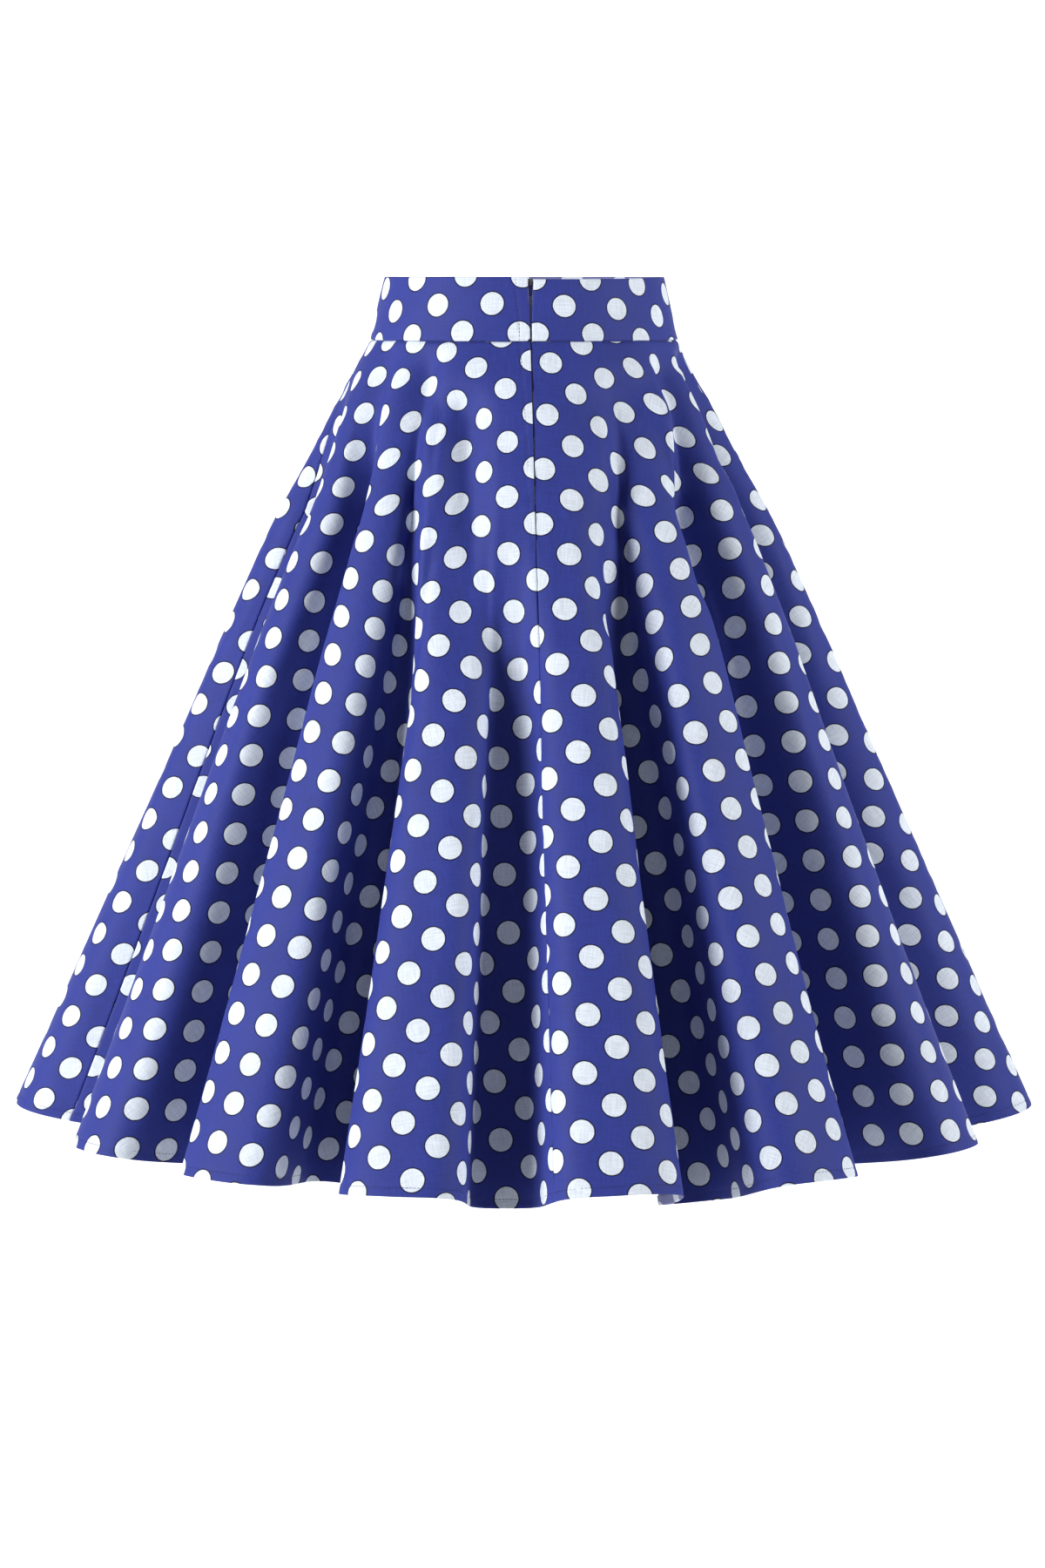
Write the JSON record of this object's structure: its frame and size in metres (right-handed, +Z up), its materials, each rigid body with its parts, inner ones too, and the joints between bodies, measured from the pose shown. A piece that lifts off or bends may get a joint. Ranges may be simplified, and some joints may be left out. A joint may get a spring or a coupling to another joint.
{
  "type": "circle skirt",
  "caption": "Flared circle skirt in its worn form, with a wide shaped waistband, soft folds that deepen to the hem and a lapped centre-back zip with a swinging pull tab",
  "frame": {"origin": "the middle of the waist opening, level with the waistband's top edge", "axes": "+Z up along the wearer, -Y towards the back with the zip, +X to the right as seen from behind, which is the wearer's right"},
  "size_m": [0.8225, 0.7553, 0.7002],
  "materials": {
    "blue_cotton": "crisp woven cotton, royal blue printed with white dots, slight sheen",
    "navy_tape": "woven polyester tape, navy, matt",
    "navy_nylon": "moulded nylon coils, navy, satin",
    "grey_metal": "cast zinc alloy, light grey, satin"
  },
  "bodies": {
    "skirt": {"skirt_front": "blue_cotton", "skirt_back_left": "blue_cotton", "skirt_back_right": "blue_cotton", "waistband_front": "blue_cotton", "waistband_back_left": "blue_cotton", "waistband_back_right": "blue_cotton", "zip_tape_left": "navy_tape", "zip_tape_right": "navy_tape", "zip_coil": "navy_nylon", "zip_slider": "grey_metal"},
    "pull_tab": {"zip_pull": "grey_metal"}
  },
  "joints": [
    {"name": "pull_swing", "type": "hinge", "parent": "skirt", "child": "pull_tab", "pos_m": [0, -0.09301, -0.00447], "axis": [-1, 0, 0], "range_deg": [0, 165]}
  ]
}
